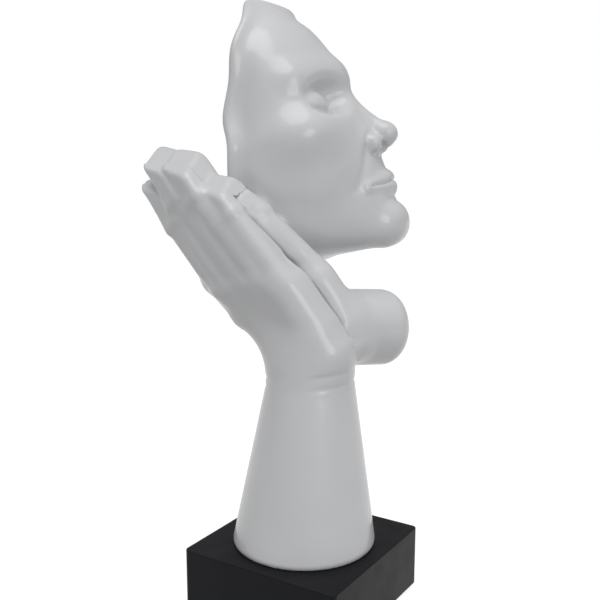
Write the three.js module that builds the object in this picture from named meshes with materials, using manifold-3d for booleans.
// A table sculpture: two hands laid palm to palm carry the mask of a resting face, on a black plinth.
// The right hand and its forearm are one casting, bolted to the plinth from below. The left hand, cut
// off at the wrist, is glued and pinned to it. The face, a hollow shell, is pinned to the left hand.
// Units are millimetres. +Z is up, +X is the side that the face looks to, and the origin is the middle
// of the underside of the felt that the plinth stands on.
import * as THREE from "three";
import { mergeVertices } from "three/addons/utils/BufferGeometryUtils.js";
import Module from "manifold-3d";

const wasm = await Module();
wasm.setup();

// Plinth and the felt under it
const plinthSide = 101;
const plinthHeight = 36.2;
const plinthCornerRadius = 3.2;
const plinthEdgeBevel = 1.2;
const feltThickness = 2;
const feltInset = 3;

// Forearm: a cone from the foot to the wrist
const footRadius = 42.3;
const neckRadius = 23;
const forearmHeight = 111;
const footEdgeRadius = 4;
const neckX = -0.5;
const neckY = 9;
const wristX = 5.5;
const wristY = 0;
const wristFillet = 20;

// How the hands stand, in degrees, and where they lie to each other
const handLean = 40;
const handTilt = 18;
const handTurn = -5;
const wristToPalms = 17;
const leftHandSetback = 6;
const leftHandStretch = 1.03;
const rightSeamFillet = 3;
const leftSeamFillet = 9;
const seamShift = 4.5;
const tipOverlap = 11;

// A hand in its own axes: x towards the thumb, y towards the fingertips, z out of the palm. Each
// finger has its knuckle, the lengths of its bones, the bend of each joint in degrees, and its radius
// at the knuckle, the joints and the tip.
const fingers = [
  { knuckle: [20, 66, -13.5], bones: [49, 30, 12], bends: [5.5, 4.5, 56], radii: [10.4, 10, 9, 7.4] },
  { knuckle: [7, 62, -14], bones: [61, 31, 15], bends: [5.5, 4.5, 56], radii: [9.8, 9.2, 8.4, 7.4] },
  { knuckle: [-6.5, 56, -14], bones: [58, 29, 15], bends: [5, 5, 56], radii: [9.6, 9, 8.2, 7.2] },
  { knuckle: [-18, 48, -12.5], bones: [44, 20, 11], bends: [5, 6, 56], radii: [9, 8.2, 7.4, 6.4] },
];
const fingerFlatness = 0.78;
const fingerEdges = [7, 4.5, 2.6];
const knuckleLine = { slope: 0.48, height: 57, blend: 28 };
const tipSlant = 22;
const tipEdge = 2;
const thumb = {
  points: [[13, 18, -11], [25, 46, -10], [29, 74, -8.5], [29, 92, -7]],
  radii: [10, 9, 8, 6.4],
};
const palmRoot = { x: 11, y: 12, z: -11, spacing: 7.5, radius: 10 };
const thumbPad = { from: [9, 12, -10], to: [22, 46, -9], radii: [13, 9] };
const heelPad = { from: [-8, -2, -10], to: [-17, 40, -10], radii: [10.5, 10] };
const fingerFillDepth = -8;
const fingerFillSetback = 1.5;
const stump = { from: [0, 1, 20], to: [-3, -18.5, 49], radius: 23, edgeRadius: 12 };

// Face: where its chin is from the wrist, how it is turned, tilted back and rolled, and its shell
const wristToChin = [19.5, 85, 63.5];
const faceTurn = 15.5;
const faceTiltBack = 26;
const faceRoll = -3;
const shellWall = 8;
const shellBackEdge = -85;
const shellTopEdge = 172;

// The face on its own axes, by the thirds of the figure drawer's rule: x the way that it looks, y
// towards its left, z towards its crown, and zero under the chin.
const faceThird = 54;
const skull = { centre: [-62, 0, 104], radii: [63, 59, 85] };
const midface = { centre: [-50, 0, 62], radii: [52, 50, 54] };
const jaw = { from: [-13, 6, 13], to: [-72, 36, 38], radii: [13.5, 13] };
const muzzle = { centre: [-26, 0, 34], radii: [26, 27, 26] };
const chin = { centre: [-11, 0, 14], radius: 13 };
const cheekbone = { centre: [-30, 33, 79], radii: [19, 19, 13] };
const temple = { centre: [-56, 66, 122], radii: [30, 14, 28] };
const eyeApart = 26;
const eyeDepth = 22;
const eyeRadii = [12, 14.5, 11.5];
const noseReach = 12;
const noseTipRadius = 6.6;
const nostrilApart = 9.3;
const nostrilWingRadius = 5.6;
const mouthHalfWidth = 22;

// Fasteners: the bolts stand half the foot's radius out from its middle
const boltShankRadius = 3;
const boltHeadRadius = 5;
const boltHeadHeight = 6;
const boltSocketRadius = 2.5;
const boltSocketDepth = 3;
const boltEndShort = 2;
const washerRadius = 9;
const washerThickness = 1.6;
const counterboreRadius = 11;
const counterboreDepth = 14;
const insertRadius = 5.5;
const insertLength = 18;
const dowelRadius = 2.5;
const handDowelLength = 20;
const handDowels = [[2, 38], [3, 62]];
const faceDowelLength = 13;
const faceDowelStart = 15;
const faceDowels = [[-9, 74], [-11, 89]];

// Clearances: round pieces in their holes, pieces that lie or are glued face to face, and castings
// that are carved to fit round each other
const holeClearance = 0.3;
const glueGap = 0.3;
const seatGap = 0.8;

// Size of the facets that the castings are divided into
const handCell = 5.4;
const faceCell = 5.6;
const hollowCell = 9;

const degrees = THREE.MathUtils.degToRad;
const plinthBottom = feltThickness + glueGap;
const plinthTop = plinthBottom + plinthHeight;
const forearmBottom = plinthTop + glueGap;

// Signed distances: a shape is a function of a point that is negative inside it.

const clamp = (value, low, high) => Math.min(high, Math.max(low, value));

// 0 before start, 1 after end, and a smooth step between.
function ramp(value, start, end) {
  const t = clamp((value - start) / (end - start), 0, 1);
  return t * t * (3 - 2 * t);
}

// Joins two distances, or cuts one by the other, with a fillet of about the given size.
function join(a, b, fillet) {
  const h = Math.max(fillet - Math.abs(a - b), 0) / fillet;
  return Math.min(a, b) - (h * h * fillet) / 4;
}
const cut = (a, b, fillet) => -join(-a, b, fillet);

const ball = ([x, y, z], [cx, cy, cz], radius) => Math.hypot(x - cx, y - cy, z - cz) - radius;

// A rod whose radius runs from ra at a to rb at b, with round ends.
function rod([x, y, z], [ax, ay, az], [bx, by, bz], ra, rb) {
  const dx = bx - ax;
  const dy = by - ay;
  const dz = bz - az;
  const along = ((x - ax) * dx + (y - ay) * dy + (z - az) * dz) / (dx * dx + dy * dy + dz * dz);
  const t = clamp(along, 0, 1);
  return Math.hypot(x - ax - dx * t, y - ay - dy * t, z - az - dz * t) - (ra + (rb - ra) * t);
}

// A round bar with a ball at its start and a flat end with a rounded edge.
function stub([x, y, z], [ax, ay, az], [bx, by, bz], radius, edgeRadius) {
  const [dx, dy, dz] = [bx - ax, by - ay, bz - az];
  const length = Math.hypot(dx, dy, dz);
  const along = ((x - ax) * dx + (y - ay) * dy + (z - az) * dz) / length;
  const away = Math.hypot(x - ax, y - ay, z - az);
  if (along < 0) {
    return away - radius;
  }
  const u = Math.sqrt(Math.max(away * away - along * along, 0)) - radius + edgeRadius;
  const v = along - length + edgeRadius;
  return Math.min(Math.max(u, v), 0) + Math.hypot(Math.max(u, 0), Math.max(v, 0)) - edgeRadius;
}

function egg([x, y, z], [cx, cy, cz], [rx, ry, rz]) {
  const px = x - cx;
  const py = y - cy;
  const pz = z - cz;
  const k0 = Math.hypot(px / rx, py / ry, pz / rz);
  const k1 = Math.hypot(px / (rx * rx), py / (ry * ry), pz / (rz * rz));
  return k1 === 0 ? -Math.min(rx, ry, rz) : (k0 * (k0 - 1)) / k1;
}

// Meshing: a net of squares drawn through the cells that a shape's surface crosses.

// Where two samples inside touch only across a corner, the outer sample between them is moved inside,
// so that the net is one closed skin.
function closeCorners(values, [nx, ny, nz]) {
  const at = (i, j, k) => i + nx * (j + ny * k);
  const steps = [[1, 0, 0], [0, 1, 0], [0, 0, 1]];
  const filled = -1e-3;
  let changed = true;
  while (changed) {
    changed = false;
    for (let k = 0; k < nz - 1; k++) {
      for (let j = 0; j < ny - 1; j++) {
        for (let i = 0; i < nx - 1; i++) {
          for (let a = 0; a < 3; a++) {
            const [p, q] = [steps[a], steps[(a + 1) % 3]];
            const corner = at(i, j, k);
            const alongP = at(i + p[0], j + p[1], k + p[2]);
            const alongQ = at(i + q[0], j + q[1], k + q[2]);
            const across = at(i + p[0] + q[0], j + p[1] + q[1], k + p[2] + q[2]);
            const pair = values[corner] < 0;
            const crossed = pair === values[across] < 0 && values[alongP] < 0 === values[alongQ] < 0;
            if (crossed && pair !== values[alongP] < 0) {
              values[pair ? alongP : corner] = filled;
              changed = true;
            }
          }
        }
      }
    }
  }
}

// The closed mesh of the surface where distance is level, inside a box, with cells of about one size.
function skin(distance, box, cell, level = 0) {
  const size = box.getSize(new THREE.Vector3());
  const counts = size.toArray().map((length) => Math.ceil(length / cell) + 1);
  const [nx, ny, nz] = counts;
  const value = (x, y, z) => distance([x, y, z]) - level;
  const values = new Float64Array(nx * ny * nz);
  const at = (i, j, k) => i + nx * (j + ny * k);
  for (let k = 0; k < nz; k++) {
    for (let j = 0; j < ny; j++) {
      for (let i = 0; i < nx; i++) {
        values[at(i, j, k)] = value(box.min.x + i * cell, box.min.y + j * cell, box.min.z + k * cell);
      }
    }
  }
  closeCorners(values, counts);

  // One point in each cell that the surface crosses, pulled onto the surface along its gradient.
  const points = [];
  const pointOf = new Map();
  const pulls = 3;
  const step = 0.05;
  const leastSlope = 0.2;
  const reach = 0.49 * cell;
  for (let k = 0; k < nz - 1; k++) {
    for (let j = 0; j < ny - 1; j++) {
      for (let i = 0; i < nx - 1; i++) {
        const crossing = new THREE.Vector3();
        let crossings = 0;
        for (let axis = 0; axis < 3; axis++) {
          for (let side = 0; side < 4; side++) {
            const from = [0, 0, 0];
            from[(axis + 1) % 3] = side & 1;
            from[(axis + 2) % 3] = side >> 1;
            const to = from.map((value, n) => (n === axis ? 1 : value));
            const a = values[at(i + from[0], j + from[1], k + from[2])];
            const b = values[at(i + to[0], j + to[1], k + to[2])];
            if (a < 0 !== b < 0) {
              const share = a / (a - b);
              crossing.add(new THREE.Vector3(...from).lerp(new THREE.Vector3(...to), share));
              crossings++;
            }
          }
        }
        if (!crossings) {
          continue;
        }
        const home = new THREE.Vector3(i, j, k).addScalar(0.5).multiplyScalar(cell).add(box.min);
        const p = crossing.divideScalar(crossings).add(new THREE.Vector3(i, j, k));
        p.multiplyScalar(cell).add(box.min);
        for (let n = 0; n < pulls; n++) {
          const d = value(p.x, p.y, p.z);
          const slope = new THREE.Vector3(
            value(p.x + step, p.y, p.z) - value(p.x - step, p.y, p.z),
            value(p.x, p.y + step, p.z) - value(p.x, p.y - step, p.z),
            value(p.x, p.y, p.z + step) - value(p.x, p.y, p.z - step),
          ).divideScalar(2 * step);
          p.addScaledVector(slope, -clamp(d / Math.max(slope.lengthSq(), leastSlope), -cell / 3, cell / 3));
        }
        p.clamp(home.clone().subScalar(reach), home.clone().addScalar(reach));
        pointOf.set(at(i, j, k), points.length / 3);
        points.push(p.x, p.y, p.z);
      }
    }
  }

  // One square round each grid edge that the surface crosses, split along its shorter diagonal.
  const triangles = [];
  const between = (a, b) => Math.hypot(...[0, 1, 2].map((n) => points[3 * a + n] - points[3 * b + n]));
  for (let k = 1; k < nz - 1; k++) {
    for (let j = 1; j < ny - 1; j++) {
      for (let i = 1; i < nx - 1; i++) {
        for (let axis = 0; axis < 3; axis++) {
          const along = [0, 1, 2].map((n) => (n === axis ? 1 : 0));
          const a = values[at(i, j, k)];
          const b = values[at(i + along[0], j + along[1], k + along[2])];
          if (a < 0 === b < 0) {
            continue;
          }
          const round = [[0, 0], [1, 0], [1, 1], [0, 1]].map(([u, v]) => {
            const back = [0, 0, 0];
            back[(axis + 1) % 3] = 1 - u;
            back[(axis + 2) % 3] = 1 - v;
            return pointOf.get(at(i - back[0], j - back[1], k - back[2]));
          });
          if (a >= 0) {
            round.reverse();
          }
          const [p, q, r, s] = round;
          if (between(p, r) < between(q, s)) {
            triangles.push(p, q, r, p, r, s);
          } else {
            triangles.push(p, q, s, q, r, s);
          }
        }
      }
    }
  }
  const geometry = new THREE.BufferGeometry();
  geometry.setAttribute("position", new THREE.Float32BufferAttribute(points, 3));
  geometry.setIndex(triangles);
  return geometry;
}

// Solids for joining and cutting

function solid(geometry) {
  const bare = geometry.clone();
  bare.deleteAttribute("normal");
  bare.deleteAttribute("uv");
  const merged = mergeVertices(bare, 1e-4);
  return new wasm.Manifold(
    new wasm.Mesh({
      numProp: 3,
      vertProperties: new Float32Array(merged.attributes.position.array),
      triVerts: new Uint32Array(merged.index.array),
    }),
  );
}

function geometryOf(body) {
  const { vertProperties, triVerts } = body.getMesh();
  const geometry = new THREE.BufferGeometry();
  geometry.setAttribute("position", new THREE.BufferAttribute(vertProperties, 3));
  geometry.setIndex(new THREE.BufferAttribute(triVerts, 1));
  const flat = geometry.toNonIndexed();
  flat.computeVertexNormals();
  return flat;
}

// The largest of the bodies that a cut leaves.
function mainBody(body) {
  return body.decompose().sort((a, b) => b.volume() - a.volume())[0];
}

// A round bar from one point to another.
function bar(from, to, radius, sides = 24) {
  const length = from.distanceTo(to);
  const turn = new THREE.Quaternion().setFromUnitVectors(
    new THREE.Vector3(0, 1, 0),
    to.clone().sub(from).normalize(),
  );
  return new THREE.CylinderGeometry(radius, radius, length, sides)
    .applyQuaternion(turn)
    .translate(...from.clone().add(to).divideScalar(2).toArray());
}

// Places: the hands' axes and the face's axes

// Upright and unturned, the thumb side of the hands points to -X and the right palm to +Y.
const wrist = new THREE.Vector3(wristX, wristY, plinthTop + forearmHeight);
const upright = new THREE.Matrix4().makeBasis(
  new THREE.Vector3(-1, 0, 0),
  new THREE.Vector3(0, 0, 1),
  new THREE.Vector3(0, 1, 0),
);
const handPlace = new THREE.Matrix4()
  .makeTranslation(wrist)
  .multiply(new THREE.Matrix4().makeRotationZ(degrees(handTurn)))
  .multiply(new THREE.Matrix4().makeRotationX(degrees(handTilt)))
  .multiply(new THREE.Matrix4().makeRotationY(-degrees(handLean)))
  .multiply(upright)
  .multiply(new THREE.Matrix4().makeTranslation(0, 0, wristToPalms));
const facePlace = new THREE.Matrix4()
  .makeTranslation(wrist.clone().add(new THREE.Vector3(...wristToChin)))
  .multiply(new THREE.Matrix4().makeRotationZ(degrees(faceTurn)))
  .multiply(new THREE.Matrix4().makeRotationY(-degrees(faceTiltBack)))
  .multiply(new THREE.Matrix4().makeRotationX(degrees(faceRoll)));

// The same shape, asked about points of the outer axes.
function placed(distance, place) {
  const e = place.clone().invert().elements;
  return ([x, y, z]) =>
    distance([
      e[0] * x + e[4] * y + e[8] * z + e[12],
      e[1] * x + e[5] * y + e[9] * z + e[13],
      e[2] * x + e[6] * y + e[10] * z + e[14],
    ]);
}

// Hands: z is 0 where the palms meet, and the right hand lies below it.

// The places of a finger's knuckle, joints and tip, and the lean of each bone.
function joints(item) {
  const points = [item.knuckle];
  const leans = [];
  let lean = 0;
  item.bones.forEach((length, n) => {
    lean += degrees(item.bends[n]);
    const [x, y, z] = points[n];
    points.push([x, y + length * Math.cos(lean), z + length * Math.sin(lean)]);
    leans.push(lean);
  });
  return { ...item, points, leans };
}

const jointedFingers = fingers.map(joints);

// One bone of a finger: a tapering bar with four flat sides and rounded edges.
function bone([x, y, z], [jx, jy, jz], lean, length, before, after, [startRadius, endRadius], edgeRadius) {
  const along = (y - jy) * Math.cos(lean) + (z - jz) * Math.sin(lean);
  const back = (y - jy) * Math.sin(lean) - (z - jz) * Math.cos(lean);
  const half = startRadius + (endRadius - startRadius) * clamp(along / length, 0, 1);
  const across = Math.abs(x - jx) - half + edgeRadius;
  const thick = Math.abs(back) - fingerFlatness * half + edgeRadius;
  const past = Math.max(-along - before, along - length - after) + edgeRadius;
  const outside = Math.hypot(Math.max(across, 0), Math.max(thick, 0), Math.max(past, 0));
  return outside + Math.min(Math.max(across, thick, past), 0) - edgeRadius;
}

// A finger whose bones have flat backs, which leaves a corner at each bent joint. Its tip is cut off
// by a slanting facet.
function finger(p, { bones, bends, radii, points, leans }) {
  const overrun = fingerFlatness * radii[2] * Math.tan(degrees(bends[2]) / 2);
  let d = Infinity;
  bones.forEach((length, n) => {
    const before = n === 0 ? knuckleLine.blend : overrun;
    const part = bone(p, points[n], leans[n], length, before, overrun, radii.slice(n, n + 2), fingerEdges[n]);
    d = n === 0 ? part : join(d, part, 2);
  });
  const thick = fingerFlatness * radii[2];
  const corner = [points[2][0] + radii[2], points[2][1] + thick * Math.sin(leans[1]), points[2][2] - thick];
  const slant = degrees(tipSlant);
  const beyond =
    -Math.sin(slant) * (p[0] - corner[0]) +
    Math.cos(slant) * Math.sin(leans[2]) * (p[1] - corner[1]) -
    Math.cos(slant) * Math.cos(leans[2]) * (p[2] - corner[2]);
  return cut(d, -beyond, tipEdge);
}

function thumbShape(p) {
  const { points, radii } = thumb;
  let d = Infinity;
  for (let n = 0; n < points.length - 1; n++) {
    d = join(d, rod(p, points[n], points[n + 1], radii[n], radii[n + 1]), 4);
  }
  return d;
}

// The palm runs over into the fingers along a slanting line across the knuckles.
function openHand(p) {
  const webFillet = 2 + 7 * ramp(p[1], 128, 88);
  let palm = join(
    rod(p, thumbPad.from, thumbPad.to, ...thumbPad.radii),
    rod(p, heelPad.from, heelPad.to, ...heelPad.radii),
    9,
  );
  let digits = Infinity;
  jointedFingers.forEach((item, n) => {
    const root = [palmRoot.x - n * palmRoot.spacing, palmRoot.y, palmRoot.z];
    const knuckleRadius = fingerFlatness * item.radii[0] + 1;
    palm = join(palm, rod(p, root, item.knuckle, palmRoot.radius, knuckleRadius), 9);
    digits = n === 0 ? finger(p, item) : join(digits, finger(p, item), webFillet);
  });
  const { slope, height, blend } = knuckleLine;
  const share = ramp(p[1] - slope * p[0], height - blend / 2, height + blend / 2);
  return join(palm * (1 - share) + digits * share, thumbShape(p), 4);
}

// Between the fingers' middles and the other hand the casting is solid, and stands back a little.
function closedHand(p) {
  if (p[2] < fingerFillDepth) {
    return openHand(p);
  }
  return join(openHand(p), openHand([p[0], p[1], fingerFillDepth]) + fingerFillSetback, 3);
}

// How far out of the right palm a point lies from where the two hands meet, and the rounding along
// their meeting edges, which runs out at the wrist and the fingertips.
const halfGap = glueGap / 2;
const seam = ([, y, z]) => z + seamShift * ramp(y, 55, 100) - tipOverlap * ramp(y, 108, 124);
const seamFillet = ([, y], fillet) => fillet * (1 - 0.8 * ramp(y, 98, 112) - 0.7 * ramp(y, 12, 0));
const rightHand = (p) => cut(closedHand(p), -seam(p) - halfGap, seamFillet(p, rightSeamFillet));

// The left hand is the right one's mirror image, with the wrist bent back and cut off round.
function leftHand(p) {
  const hand = closedHand([p[0], p[1] * leftHandStretch + leftHandSetback, -p[2]]);
  const wristStump = stub(p, stump.from, stump.to, stump.radius, stump.edgeRadius);
  return cut(join(hand, wristStump, 8), seam(p) - halfGap, seamFillet(p, leftSeamFillet));
}

// Forearm: a cone that narrows to the wrist, with a rounded foot and a rounded top inside the hand.
const forearmTop = 4;
const forearmTopEdge = 12;
const footDrop = 1;
function forearm([x, y, z]) {
  const height = z - plinthTop;
  const slope = (footRadius - neckRadius) / forearmHeight;
  const share = clamp(height / forearmHeight, 0, 1);
  const radial = Math.hypot(x - neckX * share, y - neckY * share);
  const side = (radial - (footRadius - slope * height)) / Math.hypot(1, slope);
  const below = height + footDrop;
  const above = forearmHeight + forearmTop - height;
  return cut(cut(side, below, footEdgeRadius), above, forearmTopEdge);
}

const rightHandInPlace = placed(rightHand, handPlace);
const leftHandInPlace = placed(leftHand, handPlace);
const forearmAndHand = (p) => join(forearm(p), rightHandInPlace(p), wristFillet);

// Face: it is alike on both sides, so y stands for the distance from the middle.

const browHeight = 2 * faceThird;
const eyeHeight = browHeight - 14;
const noseBaseHeight = faceThird + 4;
const mouthHeight = (2 / 3) * faceThird;
const eye = [-eyeDepth, eyeApart, eyeHeight];

function head([x, y, z]) {
  const q = [x, Math.abs(y), z];
  let d = egg(q, skull.centre, skull.radii);
  d = join(d, egg(q, midface.centre, midface.radii), 16);
  d = join(d, rod(q, jaw.from, jaw.to, ...jaw.radii), 14);
  d = join(d, egg(q, muzzle.centre, muzzle.radii), 12);
  d = join(d, ball(q, chin.centre, chin.radius), 8);
  d = join(d, egg(q, cheekbone.centre, cheekbone.radii), 16);
  return cut(d, egg(q, temple.centre, temple.radii), 16);
}

function faceShape([x, y, z]) {
  const q = [x, Math.abs(y), z];
  let d = head(q);
  d = join(d, rod(q, [-6, 4, browHeight + 3], [-20, 36, browHeight + 4], 7.5, 6), 12);
  d = cut(d, egg(q, [0, eyeApart + 2, eyeHeight + 1.5], [18, 20, 12]), 6);
  d = join(d, egg(q, eye, eyeRadii), 3);
  d = join(d, rod(q, [-14, 4, eyeHeight + 4], [-1, 8, noseBaseHeight + 6], 7, 6.5), 7);
  d = join(d, rod(q, [-10, 0, eyeHeight + 7], [noseReach - 2, 0, noseBaseHeight + 9], 5, 4.6), 5);
  d = join(d, ball(q, [noseReach, 0, noseBaseHeight + 5], noseTipRadius), 6);
  d = join(d, ball(q, [3.5, nostrilApart, noseBaseHeight + 2.5], nostrilWingRadius), 3);
  d = join(d, rod(q, [0.5, 3, mouthHeight + 3], [-8, mouthHalfWidth, mouthHeight + 0.6], 4.4, 2.2), 4);
  return join(d, rod(q, [-0.5, 0, mouthHeight - 3.8], [-8, mouthHalfWidth - 2, mouthHeight], 5.2, 2.2), 4);
}

// The broken edge of the shell: how far back it reaches at each height, and how high on each side.
const edgeLean = 0.48;
const edgeLeanFrom = 60;
const topFall = 0.3;
const topBow = 0.004;
function shellEdge([x, y, z]) {
  const waves = 2.2 * Math.sin(z / 12 + 1.5) + 1.1 * Math.sin(z / 5.7 + y / 30);
  const backEdge = shellBackEdge + edgeLean * Math.max(z - edgeLeanFrom, 0) + waves;
  const topWaves = 3 * Math.sin(y / 9 + x / 15) + 1.6 * Math.sin(x / 6.5);
  const topEdge = shellTopEdge - topFall * y - topBow * y * y + topWaves;
  return cut(backEdge - x, topEdge - z, 6);
}

const faceFront = (p) => cut(faceShape(p), -shellEdge(p), 3);

// The hollow behind the face leaves the wall whole behind the eye sockets.
const behindEyeRadii = eyeRadii.map((radius) => radius + shellWall);
function faceHollow(p) {
  const behindEye = egg([p[0], Math.abs(p[1]), p[2]], eye, behindEyeRadii);
  return cut(head(p) + shellWall, behindEye, 6);
}

// Castings

function boxed(low, high) {
  return new THREE.Box3(new THREE.Vector3(...low), new THREE.Vector3(...high));
}
const handPoints = [...jointedFingers.flatMap(({ points }) => points), ...thumb.points, thumbPad.from, heelPad.from, stump.to];
const handReach = new THREE.Box3()
  .setFromPoints(handPoints.map((point) => new THREE.Vector3(...point)))
  .expandByScalar(stump.radius)
  .applyMatrix4(handPlace);
const forearmReach = boxed([-footRadius, -footRadius, plinthTop], [footRadius, footRadius, wrist.z]);
const castingReach = forearmReach.union(handReach).expandByScalar(2 * handCell);
const faceReach = boxed(
  [shellBackEdge - faceThird, -skull.radii[1] - 2 * shellWall, -2 * shellWall],
  [noseReach + 2 * noseTipRadius, skull.radii[1] + 2 * shellWall, shellTopEdge + faceThird / 2],
);

const belowForearm = solid(
  new THREE.BoxGeometry(2 * plinthSide, 2 * plinthSide, plinthHeight).translate(
    0,
    0,
    forearmBottom - plinthHeight / 2,
  ),
);
const rightSkin = (level) => solid(skin(forearmAndHand, castingReach, handCell, level)).subtract(belowForearm);
const leftSkin = (level) => solid(skin(leftHandInPlace, castingReach, handCell, level));
const faceSkin = (distance, cell) => solid(skin(distance, faceReach, cell).applyMatrix4(facePlace));

// The piece round it, and the room that it takes up in what it is glued to
const rightCasting = rightSkin(0);
const rightRoom = rightSkin(seatGap);
const leftCasting = mainBody(leftSkin(0).subtract(rightRoom));
const leftRoom = leftSkin(seatGap);
const shell = faceSkin(faceFront, faceCell).subtract(faceSkin(faceHollow, hollowCell));
const faceCasting = mainBody(shell.subtract(leftRoom).subtract(rightRoom));

// Fasteners

const up = (x, z) => new THREE.Vector3(x, 0, z);
const boltPlaces = [-footRadius / 2, footRadius / 2];
const counterboreTop = plinthBottom + counterboreDepth;
const washerTop = counterboreTop - glueGap;
const boltHeadTop = washerTop - washerThickness - glueGap;
const boltEnd = forearmBottom + insertLength - boltEndShort;
const boltHoleRadius = boltShankRadius + holeClearance;

function boltSolid(x) {
  const headBottom = boltHeadTop - boltHeadHeight;
  return solid(bar(up(x, headBottom), up(x, boltHeadTop), boltHeadRadius))
    .add(solid(bar(up(x, boltHeadTop - 1), up(x, boltEnd), boltShankRadius)))
    .subtract(solid(bar(up(x, headBottom - 1), up(x, headBottom + boltSocketDepth), boltSocketRadius, 6)));
}

function ringSolid(x, low, high, radius, holeRadius) {
  return solid(bar(up(x, low), up(x, high), radius)).subtract(
    solid(bar(up(x, low - 1), up(x, high + 1), holeRadius)),
  );
}

const inHand = ([x, y], z) => new THREE.Vector3(x, y, z).applyMatrix4(handPlace);
const dowelBar = (place, low, high, slack) =>
  solid(bar(inHand(place, low - slack), inHand(place, high + slack), dowelRadius + slack));
const handDowel = (place, slack) => dowelBar(place, -handDowelLength / 2, handDowelLength / 2, slack);
const faceDowel = (place, slack) =>
  dowelBar(place, faceDowelStart, faceDowelStart + faceDowelLength, slack);

let plinthSolid = solid(plinthGeometry());
let rightSolid = rightCasting;
let leftSolid = leftCasting;
let faceSolid = faceCasting;
for (const x of boltPlaces) {
  plinthSolid = plinthSolid
    .subtract(solid(bar(up(x, plinthBottom - 1), up(x, counterboreTop), counterboreRadius)))
    .subtract(solid(bar(up(x, plinthBottom), up(x, plinthTop + 1), boltHoleRadius)));
  const pocketTop = forearmBottom + insertLength + holeClearance;
  rightSolid = rightSolid.subtract(
    solid(bar(up(x, plinthTop), up(x, pocketTop), insertRadius + holeClearance)),
  );
}
for (const place of handDowels) {
  rightSolid = rightSolid.subtract(handDowel(place, holeClearance));
  leftSolid = leftSolid.subtract(handDowel(place, holeClearance));
}
for (const place of faceDowels) {
  leftSolid = leftSolid.subtract(faceDowel(place, holeClearance));
  faceSolid = faceSolid.subtract(faceDowel(place, holeClearance));
}

function plinthGeometry() {
  const flat = new THREE.ExtrudeGeometry(squareOutline(plinthSide / 2 - plinthEdgeBevel, plinthCornerRadius), {
    depth: plinthHeight - 2 * plinthEdgeBevel,
    bevelThickness: plinthEdgeBevel,
    bevelSize: plinthEdgeBevel,
    bevelSegments: 2,
    curveSegments: 5,
  });
  return flat.translate(0, 0, plinthBottom + plinthEdgeBevel);
}

function squareOutline(half, radius) {
  const corner = half - radius;
  const outline = new THREE.Shape();
  outline.moveTo(-corner, -half);
  outline.absarc(corner, -corner, radius, -Math.PI / 2, 0);
  outline.absarc(corner, corner, radius, 0, Math.PI / 2);
  outline.absarc(-corner, corner, radius, Math.PI / 2, Math.PI);
  outline.absarc(-corner, -corner, radius, Math.PI, 1.5 * Math.PI);
  return outline;
}

// The assembly

const whiteLacquer = new THREE.MeshStandardMaterial({ color: 0xd4d5d8, roughness: 0.3 });
const blackLacquer = new THREE.MeshStandardMaterial({ color: 0x17181a, roughness: 0.4 });
const blackFelt = new THREE.MeshStandardMaterial({ color: 0x202020, roughness: 0.95 });
const zincSteel = new THREE.MeshStandardMaterial({ color: 0xb4b6b9, roughness: 0.35, metalness: 1 });
const plainBrass = new THREE.MeshStandardMaterial({ color: 0xc8a355, roughness: 0.35, metalness: 1 });

const group = new THREE.Group();
function add(name, geometry, material) {
  const mesh = new THREE.Mesh(geometry, material);
  mesh.name = name;
  group.add(mesh);
}

const felt = new THREE.ExtrudeGeometry(squareOutline(plinthSide / 2 - feltInset, plinthCornerRadius), {
  depth: feltThickness,
  bevelEnabled: false,
  curveSegments: 5,
});
add("felt_base", felt, blackFelt);
add("plinth", geometryOf(plinthSolid), blackLacquer);
add("right_hand_and_forearm", geometryOf(rightSolid), whiteLacquer);
add("left_hand", geometryOf(leftSolid), whiteLacquer);
add("face_mask", geometryOf(faceSolid), whiteLacquer);
boltPlaces.forEach((x, n) => {
  const number = n + 1;
  const washer = ringSolid(x, washerTop - washerThickness, washerTop, washerRadius, boltHoleRadius);
  const insert = ringSolid(x, forearmBottom, forearmBottom + insertLength, insertRadius, boltHoleRadius);
  add(`base_bolt_${number}`, geometryOf(boltSolid(x)), zincSteel);
  add(`bolt_washer_${number}`, geometryOf(washer), zincSteel);
  add(`threaded_insert_${number}`, geometryOf(insert), plainBrass);
});
handDowels.forEach((place, n) => {
  add(`hand_dowel_${n + 1}`, geometryOf(handDowel(place, 0)), zincSteel);
});
faceDowels.forEach((place, n) => {
  add(`face_dowel_${n + 1}`, geometryOf(faceDowel(place, 0)), zincSteel);
});

export default group;
